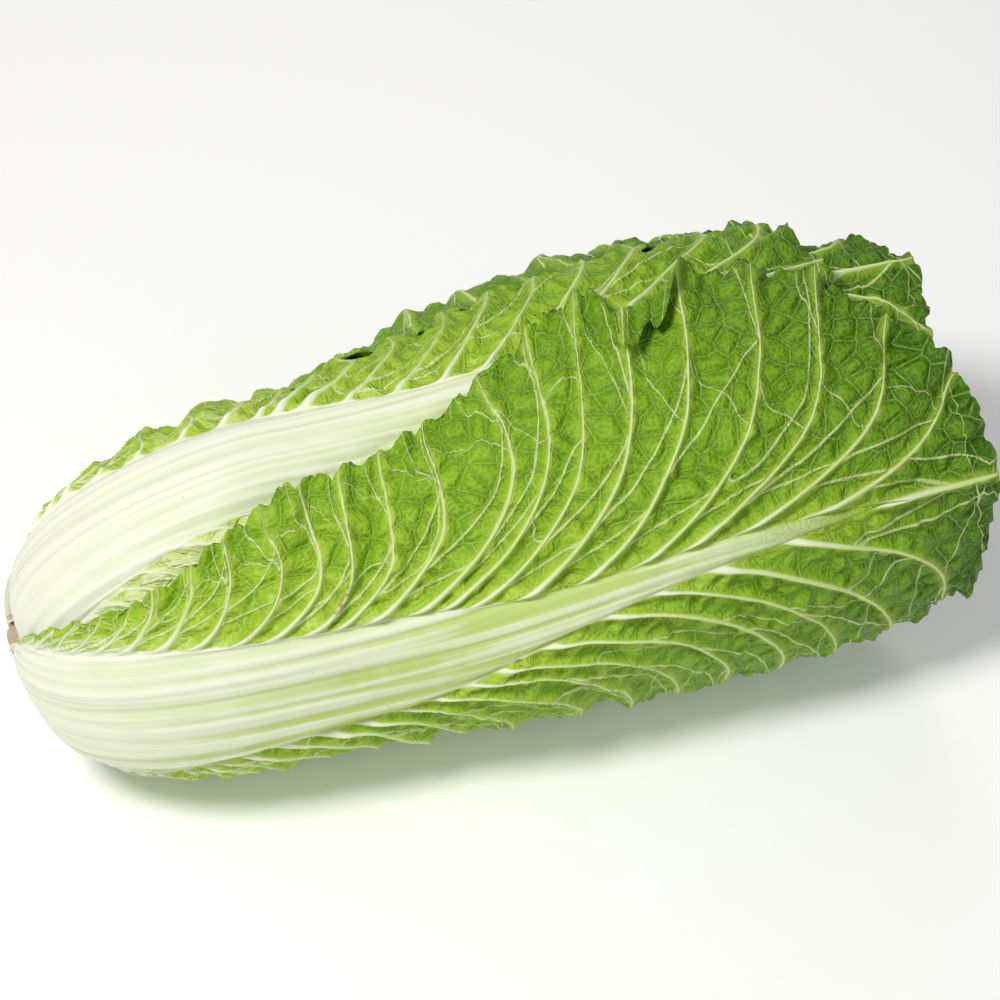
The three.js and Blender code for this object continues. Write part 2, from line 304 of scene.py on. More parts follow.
def lattice_noise(x, y, seed):
    """Smooth noise from -1 to 1 with features about one unit wide."""
    table = np.random.default_rng(seed).random((64, 64)) * 2 - 1
    i = np.floor(x).astype(int)
    j = np.floor(y).astype(int)
    u = ease(x - i)
    v = ease(y - j)
    a = table[i % 64, j % 64] * (1 - u) + table[(i + 1) % 64, j % 64] * u
    b = table[i % 64, (j + 1) % 64] * (1 - u) + table[(i + 1) % 64, (j + 1) % 64] * u
    return a * (1 - v) + b * v


def net_texture(tree, cell):
    """The cells between a leaf's fine veins, cell millimetres wide on a leaf's chart."""
    node = tree.nodes.new("ShaderNodeTexVoronoi")
    node.voronoi_dimensions = "2D"
    node.feature = "DISTANCE_TO_EDGE"
    node.inputs["Scale"].default_value = CHART_UNIT / cell
    node.inputs["Randomness"].default_value = 0.9
    return node.inputs["Vector"], node.outputs["Distance"]


def ridge_texture(tree):
    """Long ridges of a midrib, on a chart whose units are one ridge across and a stretch of rib along."""
    node = tree.nodes.new("ShaderNodeTexNoise")
    node.noise_dimensions = "2D"
    node.inputs["Scale"].default_value = 1.0
    node.inputs["Detail"].default_value = 1.2
    node.inputs["Roughness"].default_value = 0.45
    return node.inputs["Vector"], node.outputs["Fac"]


def read_texture(x, y, make_texture, *settings):
    """A texture's value at each point (x, y), the same that a material shows there."""
    mesh = bpy.data.meshes.new("chart points")
    mesh.vertices.add(x.size)
    places = np.zeros((x.size, 3), np.float32)
    places[:, 0] = x.ravel()
    places[:, 1] = y.ravel()
    mesh.vertices.foreach_set("co", places.ravel())
    holder = bpy.data.objects.new("chart points", mesh)
    bpy.context.scene.collection.objects.link(holder)
    tree = bpy.data.node_groups.new("chart reader", "GeometryNodeTree")
    for way in ("INPUT", "OUTPUT"):
        tree.interface.new_socket("Geometry", in_out=way, socket_type="NodeSocketGeometry")
    entry = tree.nodes.new("NodeGroupInput")
    result = tree.nodes.new("NodeGroupOutput")
    position = tree.nodes.new("GeometryNodeInputPosition")
    store = tree.nodes.new("GeometryNodeStoreNamedAttribute")
    store.inputs["Name"].default_value = "worth"
    vector, value = make_texture(tree, *settings)
    tree.links.new(position.outputs[0], vector)
    tree.links.new(entry.outputs[0], store.inputs["Geometry"])
    tree.links.new(value, store.inputs["Value"])
    tree.links.new(store.outputs["Geometry"], result.inputs[0])
    holder.modifiers.new("reader", "NODES").node_group = tree
    evaluated = holder.evaluated_get(bpy.context.evaluated_depsgraph_get())
    values = np.empty(x.size, np.float32)
    evaluated.data.attributes["worth"].data.foreach_get("value", values)
    bpy.data.objects.remove(holder)
    bpy.data.meshes.remove(mesh)
    bpy.data.node_groups.remove(tree)
    return values.reshape(x.shape).astype(float)


def leaf_columns(blade_steps, rib_steps):
    """Columns across a leaf as arrays side, rib and blade: one blade, the midrib, the other blade."""
    blade = np.arange(1, blade_steps + 1) / blade_steps
    rib = np.arange(1, rib_steps + 1) / rib_steps
    side = np.concatenate([-np.ones(blade_steps + rib_steps), np.ones(1 + rib_steps + blade_steps)])
    across = np.concatenate([np.ones(blade_steps), rib[::-1], [0], rib, np.ones(blade_steps)])
    out = np.concatenate([blade[::-1], np.zeros(2 * rib_steps + 1), blade])
    return side, across, out


def leaf_place(leaf, row, side, rib, blade):
    """Place of a leaf's points in the head: along, angle and depth."""
    rib_along = RIB_END * row ** 1.08
    rib_half = curve_at(RIB_SHARE, RIB_HALF_ANGLE, rib_along)
    margin_along = curve_at(EVEN_STEPS, MARGIN_ALONG, row)
    outline = [leaf["lower"], leaf["upper"]]
    reach = [rib_half + form[1] * np.maximum(0, curve_at(EVEN_STEPS, form[0], row)) for form in outline]
    margin_angle = np.where(side > 0, reach[1], reach[0])

    def bend(start, end, pull):
        middle = start + pull * (end - start)
        return (1 - blade) ** 2 * start + 2 * blade * (1 - blade) * middle + blade ** 2 * end

    along = leaf["length"] * bend(rib_along, margin_along, 0.7)
    offset = side * np.where(blade > 0, bend(rib_half, margin_angle, 0.3), rib_half * rib)
    share = along / leaf["length"]
    offset = offset + leaf["rib_turn"] * ease((share - 0.4) / 0.35) * np.clip(1 - blade, 0, 1) ** 1.5
    angle = leaf["angle"] + leaf["twist"] * ease((along - SHOULDER_X) / 190) + offset
    depth = leaf["depth"] + leaf["tip_in"] * ease(2 * share - 1)
    return along, angle, depth


def vein_phases(leaf, way, row, blade):
    """Vein lines of one blade as phases: a vein runs where its phase is a whole number."""
    count = leaf["veins"]
    seed = leaf["seed"] + 5 * way
    hold = 1 - row ** 5
    swept = leaf["sweep"][way > 0] * (1 - blade) ** 3 * (0.1 + 0.9 * ease(row / 0.4))
    back = leaf["lean_back"] * ease((blade - 0.35) / 0.65) ** 1.4 * (1.7 * ease(row / 0.5) - 0.7)
    spread = 0.44 * row * (1 - row)
    main = count * (row + spread + hold * (swept + back))
    drift = 0.42 * lattice_noise(main / 1.6, 1.6 * blade, seed)
    drift = drift + 0.06 * lattice_noise(main / 1.3, 5 * blade, seed + 1)
    main = main + hold * drift

    def branch(number, low, high, reach, run):
        early = lattice_noise(main / 1.2 + 7.3 * number, 0 * blade, seed + number)
        begin = low + (high - low) * (0.5 + 0.5 * early)
        uneven = lattice_noise(main / 1.1 + 3.1 * number, 0 * blade, seed + 20 + number)
        size = reach * (0.85 + 0.3 * uneven)
        return size * np.clip((blade - begin) / run, 0, 1.1) ** 0.75

    wiggle = 0.05 * lattice_noise(main * 2.3, 9 * blade, seed + 2)

    def across(number, low, high, run, bend):
        gone = np.clip(branch(number, low, high, 1.35, run), 0, 1)
        return gone + bend * wiggle * 4 * gone * (1 - gone)

    fork = branch(4, 0.5, 0.9, 0.45, 0.3)
    return {
        "main": main,
        "fork_ahead": main - across(3, 0.08, 0.5, 0.42, 2),
        "fork_behind": main + fork + wiggle * np.minimum(1, 4 * fork),
        "bridge": main - across(6, 0.05, 0.45, 0.16, 3),
        "middle": main + across(7, 0.4, 0.85, 0.2, 3),
        "strength": 0.95 + 0.4 * lattice_noise(main / 1.1 + 0.37, 0.6 * blade, seed + 15),
    }


def span_of(phase, along_row, across_row):
    """Millimetres on the leaf from one whole number of a phase to the next."""
    by_row, by_column = np.gradient(phase)
    size = np.linalg.norm(np.cross(along_row, across_row), axis=-1) + 1e-6
    across_size = (across_row ** 2).sum(-1)
    along_size = (along_row ** 2).sum(-1)
    shear = (along_row * across_row).sum(-1)
    slope = by_row ** 2 * across_size - 2 * by_row * by_column * shear + by_column ** 2 * along_size
    return size / np.sqrt(np.maximum(slope, 1e-8))


def off_line(phase, span):
    """Millimetres from the nearest line of a phase."""
    return np.abs(phase - np.round(phase)) * span


def margin_form(leaf, shape, row, side, blade, blade_mm, width_mm, margin_mm, tip_mm, press):
    """Lobed, curled and frilled margins: the new blade share, and how far the blade stands out."""
    seed = leaf["seed"]
    apart = ease(tip_mm / TIP_ZONE)
    wander = 4 * lattice_noise(margin_mm / 15, side * 3.3, seed + 1)
    lobe = np.abs(np.sin(math.pi * (margin_mm + wander) / LOBE_RUN)) ** 0.5 - 0.76
    tooth = np.abs(np.sin(math.pi * (margin_mm - 0.6 * wander) / TOOTH_RUN)) ** 0.6 - 0.72
    uneven = lattice_noise(margin_mm / 19, side * 5.1, seed + 9)
    lobes = shape.lobe_depth / MM * (lobe * (1 + 0.4 * uneven) + 0.26 * tooth)
    ripple = TIP_RIPPLE * np.cos(2 * math.pi * tip_mm / TIP_RIPPLE_RUN)
    lobes = apart * (lobes + leaf["ragged"] * uneven) - (1 - apart) * ripple
    for drawn_side, place, spread, depth in leaf["drawn_in"]:
        lobes = lobes - (side == drawn_side) * depth * np.exp(-(((row - place) / spread) ** 2)) * apart
    lobes = np.clip(lobes, -0.45 * width_mm, 0.3 * width_mm + 3 * (1 - apart))
    reach_mm = blade_mm + lobes * ease((blade - 0.5) / 0.5)

    amount = 0.06 + 0.3 * np.clip(lattice_noise(margin_mm / 21, side * 7.7, seed + 2), 0, 1)
    for curl_side, place, spread, strength in leaf["curls"]:
        amount = amount + (side == curl_side) * strength * np.exp(-(((row - place) / spread) ** 2))
    amount = amount * (1 + 0.35 * lattice_noise(margin_mm / 5, side, seed + 12))
    amount = np.clip(amount, 0.02, CURL_MOST) * apart
    folded = ease(amount - 1)
    zone = np.minimum(9 + 6 * np.minimum(amount, 1) + 5 * folded, 0.5 * width_mm)
    into = np.clip(reach_mm - (width_mm - zone), 0, None)
    tight = amount / (8.0 - 1.5 * folded) + 1e-4
    turn = into * tight
    most = np.minimum(0.9 + 1.1 * amount, CURL_MOST_TURN)
    bent = np.minimum(turn, most)
    rest = (turn - bent) / tight
    outward = ((1 - np.cos(bent)) / tight + rest * np.sin(bent)) * (1 - press)
    advance = np.sin(bent) / tight + rest * np.cos(bent)
    new_blade = (reach_mm - (into - advance) * (1 - press)) / width_mm
    new_blade = np.where(width_mm > 2, new_blade, blade)

    frill_zone = np.minimum(FRILL_ZONE, 0.5 * width_mm) + 0.01
    rise = ease((blade_mm - width_mm + frill_zone) / frill_zone) ** 1.4 * apart
    frill = (lattice_noise(margin_mm / 9.5, side * 2.2, seed + 13)
             + 0.6 * lattice_noise(margin_mm / 4.6, side * 4.2 + blade_mm / 20, seed + 14)
             + 0.35 * np.sin(2 * math.pi * (margin_mm + wander) / FRILL_RUN))
    outward = outward + shape.frill_height / MM * frill * rise * (1 + 0.6 * folded)
    most_out = leaf["stand_out"]
    outward = np.where(outward > 0, most_out * np.tanh(outward / most_out), outward)
    tuck = np.where(side > 0, leaf["tuck"][1], leaf["tuck"][0])
    outward = outward - tuck * ease(1 - (width_mm - blade_mm) / TUCK_ZONE)
    return np.where(blade > 0, np.clip(new_blade, 0, 1.5), 0), np.where(blade > 0, outward, 0)


def leaf_measures(flat, side, rib_steps):
    """Millimetres on a smooth leaf: from its middle, over the blade, the blade's width, and the margin's
    length from the root and to the tip."""
    centre = side.shape[1] // 2
    steps = np.linalg.norm(np.diff(flat, axis=1), axis=-1)
    run = np.concatenate([np.zeros((len(flat), 1)), np.cumsum(steps, axis=1)], axis=1)
    from_middle = np.abs(run - run[:, centre:centre + 1])
    upper_edge = from_middle[:, centre + rib_steps][:, None]
    lower_edge = from_middle[:, centre - rib_steps][:, None]
    blade_mm = np.maximum(from_middle - np.where(side > 0, upper_edge, lower_edge), 0)
    width_mm = np.where(side > 0, blade_mm[:, -1:], blade_mm[:, :1]) + 1e-3
    margin_step = np.linalg.norm(np.diff(flat[:, [0, -1]], axis=0), axis=-1)
    margin_run = np.concatenate([np.zeros((1, 2)), np.cumsum(margin_step, axis=0)], axis=0)
    margin_mm = np.where(side > 0, margin_run[:, 1:], margin_run[:, :1])
    return from_middle, blade_mm, width_mm, margin_mm, margin_mm[-1:] - margin_mm


def vein_relief(leaf, flat, row, side, blade):
    """Height of the side veins and of the swelling round them, and the fields that place their lines."""
    along_row = np.gradient(flat, axis=0)
    across_row = np.gradient(flat, axis=1)
    centre = row.shape[1] // 2
    phases = {}
    spans = {}
    strength = np.ones(row.shape)
    for way in (-1, 1):
        half = np.s_[:, :centre] if way < 0 else np.s_[:, centre:]
        found = vein_phases(leaf, way, row[half], blade[half])
        strength[half] = found.pop("strength")
        for name, phase in found.items():
            span = span_of(phase, along_row[half], across_row[half])
            phases.setdefault(name, np.zeros(row.shape))[half] = phase
            spans.setdefault(name, np.zeros(row.shape))[half] = np.clip(span, 0.5, 60)
    away = {name: off_line(phase, spans[name]) for name, phase in phases.items()}
    thin = VEIN_WIDE - VEIN_NARROWING * np.sqrt(blade)
    fade = 1.25 - 0.85 * blade
    vein = np.exp(-((away["main"] / (0.35 + 0.85 * thin * strength)) ** 2)) * fade * strength
    for name, height in (("fork_ahead", 0.5), ("fork_behind", 0.45)):
        vein = np.maximum(vein, height * np.exp(-((away[name] / (0.5 + 0.5 * thin)) ** 2)) * fade)
    for name in ("bridge", "middle"):
        vein = np.maximum(vein, 0.25 * np.exp(-(away[name] ** 2)))
    swell = np.exp(-((away["main"] / VEIN_SWELL_REACH) ** 2))
    scar = np.zeros(row.shape)
    if leaf["scar"]:
        number, start, end = leaf["scar"]
        window = ease((blade - start) / 0.05) * ease((end - blade) / 0.05) * (side > 0)
        off_vein = (phases["main"] - number) * spans["main"]
        scar = window * np.exp(-((off_vein / SCAR_HALF_WIDTH) ** 2))
    fields = {"strength": strength, "scar": scar}
    for name, phase in phases.items():
        fields[name] = phase
        fields[name + "_span"] = spans[name]
    return vein, swell, fields


def net_relief(shape, seed, along, turn_mm):
    """The chart of a leaf's net, with its fine veins, pillows, dimples and broad swellings."""
    chart_a = along + 2.2 * lattice_noise(along / 12, turn_mm / 12, seed + 3)
    chart_b = turn_mm + 2.2 * lattice_noise(along / 12, turn_mm / 12, seed + 4)
    cell = shape.net_cell / MM
    edge = read_texture(chart_a / CHART_UNIT, chart_b / CHART_UNIT, net_texture, cell) * cell
    net = np.exp(-((edge / 0.9) ** 2))
    pillow = ease(edge / 2.6) * (0.8 + 0.7 * lattice_noise(chart_a / 6, chart_b / 6, seed + 5))
    dimple = lattice_noise(chart_a / 3.1, chart_b / 3.1, seed + 6)
    broad = lattice_noise(chart_a / 15, chart_b / 15, seed + 7)
    return np.stack([chart_a, chart_b], -1) / CHART_UNIT, net, pillow, dimple, broad


def leaf_surface(leaf, shape):
    """Outer and inner points of a leaf's grid in millimetres, the fields of its material, and its chart."""
    seed = leaf["seed"]
    side, rib, blade = (c[None, :] for c in leaf_columns(leaf["blade_steps"], leaf["rib_steps"]))
    row = np.linspace(leaf["first"], 1, leaf["rows"] + 1)[:, None]
    row, side, rib, blade = np.broadcast_arrays(row, side, rib, blade)
    floor = leaf["depth"] - OUTER_DEPTH

    along, angle, depth = leaf_place(leaf, row, side, rib, blade)
    flat = head_point(along, angle, depth, floor)
    from_middle, blade_mm, width_mm, margin_mm, tip_mm = leaf_measures(flat, side, leaf["rib_steps"])
    press = pressed(along, angle, depth, floor)
    free = 1 - press
    new_blade, outward = margin_form(
        leaf, shape, row, side, blade, blade_mm, width_mm, margin_mm, tip_mm, press,
    )
    along, angle, depth = leaf_place(leaf, row, side, rib, new_blade)
    radius = layer_outline(along, depth)[1]
    share = along / leaf["length"]
    vein, swell, fields = vein_relief(leaf, flat, row, side, blade)
    chart, net, pillow, dimple, broad = net_relief(shape, seed, along, np.radians(angle) * radius)

    # Midrib
    ridge_a = np.where(side > 0, 1, -1) * from_middle / (shape.rib_ridge_width / MM) + 0.02 * along
    ridge_b = along / 150 + seed
    ridge = read_texture(ridge_a, ridge_b, ridge_texture)
    stout = np.clip(1 - row ** 1.08, 0, 1)
    dome = np.where(blade > 0, 0, 1 - rib ** 5) * stout ** 0.6
    skirt = np.where(blade > 0, np.exp(-((blade_mm / 5) ** 2)), 1 - dome) * 0.7 * stout
    ridge_mask = np.where(blade > 0, np.exp(-((blade_mm / 8) ** 2)), 1)
    ridge_mask = ridge_mask * ease(along / 35) * stout ** 0.35
    ridge_relief = shape.rib_ridge_height / MM * 4 * (ridge - 0.5) * ridge_mask
    rib_relief = RIB_BULGE_OUT * dome + skirt + ridge_relief

    # Blade: broad forms first, then the fine ones
    in_blade = ease(blade_mm / 6)
    calm = ease(along / CALM_ROOT + 0.3)
    wave_height = VEIN_RIDGE * ease(4 * blade) + 0.6 * (EDGE_WAVE - VEIN_RIDGE) * blade ** 2
    wave = np.cos(2 * math.pi * leaf["waves"] * row) * wave_height * ease(along / CALM_ROOT)
    off_vein = 1 - np.clip(1.3 * vein, 0, 1)
    pale_until = np.where(side > 0, leaf["pale_root"][1], leaf["pale_root"][0]) + 1e-3
    pale = (1 - ease((share - 0.6 * pale_until) / pale_until)) * (pale_until > 0.01)
    outward = np.where(side > 0, outward, outward * (1 - 0.7 * pale))
    low = wave + 1.9 * (swell - 0.4) * in_blade * (1 - 0.7 * blade ** 2) * (1 - 0.85 * pale) + outward
    low = low + (1.0 * broad + shape.pucker_depth / MM * (pillow - 0.5) * off_vein) * in_blade * calm
    fine = shape.vein_height / MM * vein + (0.25 * net + 0.35 * dimple * calm) * off_vein
    fine = (0.25 + 0.75 * ease(along / 90)) * (1 - 0.8 * pale) * fine * in_blade
    outer = low * free + fine * (1 - 0.7 * press) + rib_relief
    thickness = shape.blade_thickness / MM * (1 - 0.45 * blade ** 2)
    inner = low * free + 0.4 * rib_relief - thickness - RIB_BULGE_IN * dome
    outer_points = head_point(along, angle, depth - outer, floor - outer)
    inner_points = head_point(along, angle, depth - inner, floor - inner)

    # Tones
    tone = leaf["green"] * (0.5 + 0.7 * share) + 0.12 * ease(blade_mm / 40) + 0.14 * blade ** 3
    tone = tone + 0.12 * share ** 3 + 0.14 * share ** 8 - 0.6 * pale
    # The midrib is painted greener on its lower flank: partly its own green, partly painted shade from the
    # light above.
    lower = 0.5 - 0.5 * np.where(side > 0, 1, -1) * rib
    rib_tone = leaf["rib_green"] * (0.2 + 1.2 * ease(share / 0.55)) * (0.55 + 0.75 * lower)
    rib_tone = rib_tone + 0.5 * leaf["rib_green"] * ease((share - 0.3) / 0.35)
    rib_fade = 2.0 + 5 * (1 - ease(share / 0.35))
    on_rib = np.where(blade > 0, np.exp(-((blade_mm / rib_fade) ** 2)), 1.0)
    fields["rib"] = on_rib * np.clip(stout * 2.2, 0, 1) ** 0.5
    fields["blade"] = blade
    fields["from_rib"] = blade_mm
    fields["tone"] = np.clip(tone, 0, 1)
    fields["rib_tone"] = np.clip(rib_tone, 0, 1)
    fields["ridge_a"] = ridge_a
    fields["ridge_b"] = ridge_b
    fields["root"] = 1 - ease((along - 0.5) / BROWNED_ROOT)
    return outer_points, inner_points, fields, chart


def weld_rows(rows, columns, rib_steps):
    """Numbers of a grid's vertices, with the tip's two halves sharing theirs."""
    number = np.arange(rows * columns).reshape(rows, columns)
    centre = columns // 2
    last = number[-1]
    last[:centre] = last[::-1][:centre]
    last[centre - rib_steps:centre + rib_steps + 1] = last[centre]
    number[-1] = last
    return number


def leaf_triangles(outer, inner):
    """Triangles of a closed leaf: a fine outer face, an inner face of every second line, and the edge."""
    found = []

    def grid(number, flip):
        a, b = number[:-1, :-1].ravel(), number[1:, :-1].ravel()
        c, d = number[1:, 1:].ravel(), number[:-1, 1:].ravel()
        found.append(np.stack([a, c, b] if flip else [a, b, c], -1))
        found.append(np.stack([a, d, c] if flip else [a, c, d], -1))

    def edge(line, behind):
        start, middle, end = line[:-2:2], line[1:-1:2], line[2::2]
        found.append(np.stack([start, middle, behind[:-1]], -1))
        found.append(np.stack([middle, end, behind[1:]], -1))
        found.append(np.stack([middle, behind[1:], behind[:-1]], -1))

    grid(outer, False)
    grid(inner, True)
    edge(outer[::-1, 0], inner[::-1, 0])
    edge(outer[:, -1], inner[:, -1])
    edge(outer[0], inner[0])
    triangles = np.concatenate(found)
    a, b, c = triangles.T
    return triangles[(a != b) & (b != c) & (c != a)]


def leaf_shell(leaf, shape):
    """Vertices, triangles, fields and chart of one closed leaf."""
    outer, inner, fields, chart = leaf_surface(leaf, shape)
    rows, columns = outer.shape[:2]
    outer_number = weld_rows(rows, columns, leaf["rib_steps"])
    coarse = weld_rows((rows + 1) // 2, (columns + 1) // 2, leaf["rib_steps"] // 2) + rows * columns
    vertices = np.concatenate([outer.reshape(-1, 3), inner[::2, ::2].reshape(-1, 3)])
    triangles = leaf_triangles(outer_number, coarse)
    values = {}
    for name, field in fields.items():
        values[name] = np.concatenate([field.ravel(), field[::2, ::2].ravel()])
    charts = np.concatenate([chart.reshape(-1, 2), chart[::2, ::2].reshape(-1, 2)])
    return vertices, triangles, values, charts


def piece_from(name, shells, material):
    """One mesh object from closed shells given in the head's millimetres."""
    start = 0
    all_vertices, all_triangles, all_charts = [], [], []
    all_values = {}
    for vertices, triangles, values, charts in shells:
        used, renumbered = np.unique(triangles, return_inverse=True)
        all_vertices.append(vertices[used])
        all_charts.append(charts[used])
        all_triangles.append(renumbered.reshape(-1, 3) + start)
        for key, value in values.items():
            all_values.setdefault(key, []).append(value[used])
        start += len(used)
    points = (np.concatenate(all_vertices) + SHIFT) * MM
    points[:, 2] = np.maximum(points[:, 2], 0.0)
    corners = np.concatenate(all_triangles).astype(np.int32)
    mesh = bpy.data.meshes.new(name)
    mesh.vertices.add(len(points))
    mesh.vertices.foreach_set("co", points.astype(np.float32).ravel())
    mesh.loops.add(corners.size)
    mesh.loops.foreach_set("vertex_index", corners.ravel())
    mesh.polygons.add(len(corners))
    mesh.polygons.foreach_set("loop_start", np.arange(0, corners.size, 3, dtype=np.int32))
    mesh.polygons.foreach_set("loop_total", np.full(len(corners), 3, dtype=np.int32))
    for key, value in all_values.items():
        layer = mesh.attributes.new(key, "FLOAT", "POINT")
        layer.data.foreach_set("value", np.concatenate(value).astype(np.float32))
    charts = np.concatenate(all_charts)[corners.ravel()]
    mesh.uv_layers.new(name="chart").data.foreach_set("uv", charts.astype(np.float32).ravel())
    mesh.polygons.foreach_set("use_smooth", np.ones(len(corners), dtype=bool))
    mesh.update()
    mesh.validate()
    piece = bpy.data.objects.new(name, mesh)
    bpy.context.scene.collection.objects.link(piece)
    mesh.materials.append(material)
    return piece


class Nodes:
    """Short calls for the nodes of one material."""

    def __init__(self, name):
        self.material = bpy.data.materials.new(name)
        self.material.use_nodes = True
        self.tree = self.material.node_tree
        self.tree.nodes.clear()

    def new(self, kind, **settings):
        """A node with its settings."""
        node = self.tree.nodes.new(kind)
        for key, value in settings.items():
            setattr(node, key, value)
        return node

    def join(self, source, target):
        """A link between two sockets."""
        self.tree.links.new(source, target)

    def fill(self, socket, value):
        """A socket's value from another socket, a colour or a number."""
        if isinstance(value, bpy.types.NodeSocket):
            self.join(value, socket)
        elif hasattr(value, "__len__") and len(value) == 3 and socket.type == "RGBA":
            socket.default_value = (*value, 1.0)
        else:
            socket.default_value = value

    def field(self, name):
        """One of the mesh's fields."""
        return self.new("ShaderNodeAttribute", attribute_name=name).outputs["Fac"]

    def noise(self, place, scale, detail):
        """A noise texture read at a place."""
        node = self.new("ShaderNodeTexNoise")
        node.inputs["Scale"].default_value = scale
        node.inputs["Detail"].default_value = detail
        self.join(place, node.inputs["Vector"])
        return node

    def sum(self, operation, first, second=0.0, third=0.0, clamp=False):
        """The result of one operation on numbers."""
        node = self.new("ShaderNodeMath", operation=operation, use_clamp=clamp)
        for socket, value in zip(node.inputs, (first, second, third)):
            self.fill(socket, value)
        return node.outputs[0]

    def blend(self, share, first, second, mode="MIX"):
        """The first colour, with a share of the second."""
        node = self.new("ShaderNodeMix", data_type="RGBA", blend_type=mode)
        self.fill(node.inputs["Factor"], share)
        self.fill(node.inputs["A"], first)
        self.fill(node.inputs["B"], second)
        return node.outputs["Result"]

    def between(self, value, low, high, out_low=0.0, out_high=1.0):
        """From out_low to out_high, softly, as the value goes from low to high."""
        node = self.new("ShaderNodeMapRange", interpolation_type="SMOOTHSTEP")
        limits = {"From Min": low, "From Max": high, "To Min": out_low, "To Max": out_high}
        for key, number in limits.items():
            node.inputs[key].default_value = number
        self.join(value, node.inputs["Value"])
        return node.outputs["Result"]

    def surface(self, colour, roughness, settings):
        """The shader and the output. settings are the same all over the surface."""
        shader = self.new("ShaderNodeBsdfPrincipled")
        self.fill(shader.inputs["Base Color"], colour)
        self.fill(shader.inputs["Roughness"], roughness)
        for key, value in settings.items():
            shader.inputs[key].default_value = value
        result = self.new("ShaderNodeOutputMaterial")
        self.join(shader.outputs[0], result.inputs["Surface"])
        return shader

    def bump(self, shader, height, strength, distance):
        """A fine relief for the shader."""
        node = self.new("ShaderNodeBump")
        node.inputs["Strength"].default_value = strength
        node.inputs["Distance"].default_value = distance
        self.join(height, node.inputs["Height"])
        self.join(node.outputs["Normal"], shader.inputs["Normal"])


def vein_lines(n, blade_share):
    """Pale side veins: where they show, how near the main ones are in widths, and their halo."""
    thin = n.sum("MULTIPLY_ADD", n.sum("SQRT", blade_share), -VEIN_NARROWING, VEIN_WIDE)

    def away(name):
        phase = n.field(name)
        off = n.sum("ABSOLUTE", n.sum("SUBTRACT", phase, n.sum("ROUND", phase)))
        return n.sum("MULTIPLY", off, n.field(name + "_span"))

    main_mm = away("main")
    main_widths = n.sum("DIVIDE", n.sum("DIVIDE", main_mm, thin), n.field("strength"))
    veins = n.between(main_widths, 0.78, 0.36)
    for name, width, weight in BRANCH_LINES:
        line = n.between(n.sum("DIVIDE", away(name), thin), 1.25 * width, 0.5 * width)
        veins = n.sum("MAXIMUM", veins, n.sum("MULTIPLY", line, weight))
    veins = n.sum("MULTIPLY", veins, n.between(blade_share, 1.02, 0.9, 0.35, 1.0))
    veins = n.sum("MULTIPLY", veins, n.between(n.field("from_rib"), 0.3, 1.3))
    halo = n.between(main_mm, 3.2, 0.3)
    halo = n.sum("MAXIMUM", halo, n.between(n.field("from_rib"), 16.0, 0.0))
    return veins, main_widths, halo


def blade_ramp(n, tone, colours):
    """The blade's green for a tone from 0, pale, to 1, dark."""
    ramp = n.new("ShaderNodeValToRGB")
    stops = ramp.color_ramp.elements
    stops[0].position = 0.0
    stops[0].color = (*colours.blade_pale, 1)
    stops[1].position = 1.0
    stops[1].color = (*colours.blade_dark, 1)
    for place, colour in ((0.3, colours.blade_light), (0.62, colours.blade_green)):
        stops.new(place).color = (*colour, 1)
    n.join(tone, ramp.inputs["Fac"])
    return ramp.outputs["Color"]


def midrib_colour(n, chart, coarse, colours):
    """The midrib's colour and ridges: white ridges, green between them, and a few brown specks."""
    ridge_place = n.new("ShaderNodeCombineXYZ")
    n.join(n.field("ridge_a"), ridge_place.inputs[0])
    n.join(n.field("ridge_b"), ridge_place.inputs[1])
    ridge_vector, ridge = ridge_texture(n.tree)
    n.join(ridge_place.outputs[0], ridge_vector)
    groove = n.between(ridge, 0.6, 0.38)
    # rib_tone holds the midrib's own green and the painted shade on its lower flank.
    green = n.sum("MULTIPLY", n.sum("MULTIPLY_ADD", groove, 1.0, 0.5), n.field("rib_tone"))
    green = n.sum("MULTIPLY", green, n.between(coarse, 0.3, 0.7, 0.8, 1.15), clamp=True)
    rib = n.blend(green, colours.rib_white, colours.rib_green)
    speck = n.new("ShaderNodeTexVoronoi", feature="F1")
    speck.inputs["Scale"].default_value = 16.0
    n.join(chart, speck.inputs["Vector"])
    spots = n.between(speck.outputs["Distance"], 0.05, 0.025)
    pick = n.new("ShaderNodeSeparateColor")
    n.join(speck.outputs["Color"], pick.inputs[0])
    rare = n.sum("GREATER_THAN", pick.outputs[0], 0.8)
    return n.blend(n.sum("MULTIPLY", n.sum("MULTIPLY", spots, rare), 0.75), rib, colours.scar), ridge


